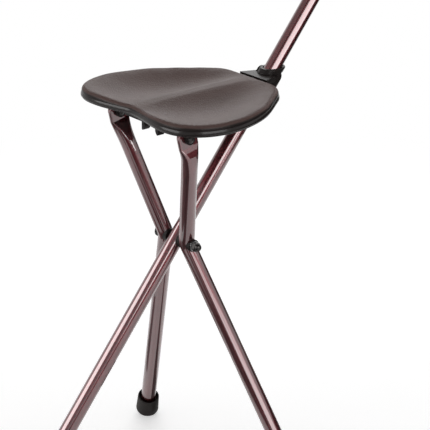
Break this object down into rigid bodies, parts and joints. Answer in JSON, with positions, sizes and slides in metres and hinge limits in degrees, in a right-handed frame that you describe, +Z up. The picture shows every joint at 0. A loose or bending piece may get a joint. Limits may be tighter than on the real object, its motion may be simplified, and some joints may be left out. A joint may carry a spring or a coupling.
{
  "type": "walking stick seat",
  "caption": "Walking stick that opens into a tripod stool, with a dished moulded seat, crossed bent legs on one hub bolt and a slider on the leaning shaft.",
  "frame": {"origin": "on the floor, below the middle of the bounding box", "axes": "+X to the sitter's right seen from the tail, +Y from the seat's tail to its nose and the handle, +Z up"},
  "size_m": [0.3414, 0.6046, 0.7043],
  "materials": {
    "bronze_tube": "polished red-brown anodised tube",
    "seat_plastic": "fine-grained warm dark grey moulding",
    "black_nylon": "satin black moulding",
    "foot_rubber": "black rubber",
    "dark_steel": "blackened steel",
    "plated_steel": "zinc-plated steel",
    "liner_plastic": "slippery dark grey bush"
  },
  "bodies": {
    "shaft": {"main_shaft_tube": "bronze_tube", "shaft_foot": "foot_rubber", "shaft_foot_washer": "plated_steel", "shaft_hub_sleeve": "black_nylon", "handle_grip": "black_nylon", "handle_collar": "black_nylon", "handle_rivet": "dark_steel", "hub_bolt": "dark_steel", "hub_nut": "dark_steel", "hub_washers": "plated_steel", "stop_pin": "dark_steel"},
    "left_leg": {"left_leg_tube": "bronze_tube", "left_foot": "foot_rubber", "left_foot_washer": "plated_steel", "left_hub_spacer": "black_nylon", "left_outer_washer": "black_nylon", "left_hub_sleeve": "black_nylon", "left_pivot_pin": "dark_steel"},
    "right_leg": {"right_leg_tube": "bronze_tube", "right_foot": "foot_rubber", "right_foot_washer": "plated_steel", "right_hub_spacer": "black_nylon", "right_outer_washer": "black_nylon", "right_hub_sleeve": "black_nylon", "right_pivot_pin": "dark_steel"},
    "seat": {"seat_shell": "seat_plastic", "seat_carrier": "black_nylon", "seat_screws": "dark_steel", "stowage_clip": "black_nylon", "clip_screws": "dark_steel"},
    "slider": {"slider_bracket": "black_nylon", "slider_liner": "liner_plastic", "nose_hinge_pins": "dark_steel"}
  },
  "joints": [
    {"name": "left_leg_fold", "type": "hinge", "parent": "shaft", "child": "left_leg", "pos_m": [0, -0.04265, 0.315], "axis": [-1, 0, 0], "range_deg": [0, 52]},
    {"name": "right_leg_fold", "type": "hinge", "parent": "shaft", "child": "right_leg", "pos_m": [0, -0.04265, 0.315], "axis": [-1, 0, 0], "range_deg": [0, 52]},
    {"name": "seat_pivot", "type": "hinge", "parent": "left_leg", "child": "seat", "pos_m": [0, -0.07706, 0.46408], "axis": [1, 0, 0], "range_deg": [0, 104]},
    {"name": "slider_hinge", "type": "hinge", "parent": "seat", "child": "slider", "pos_m": [0, 0.07591, 0.46141], "axis": [-1, 0, 0], "range_deg": [0, 52]}
  ],
  "couplings": [
    {"joint": "right_leg_fold", "follows": "left_leg_fold", "ratio": 1},
    {"joint": "seat_pivot", "follows": "left_leg_fold", "ratio": 2},
    {"joint": "slider_hinge", "follows": "left_leg_fold", "ratio": 1}
  ]
}
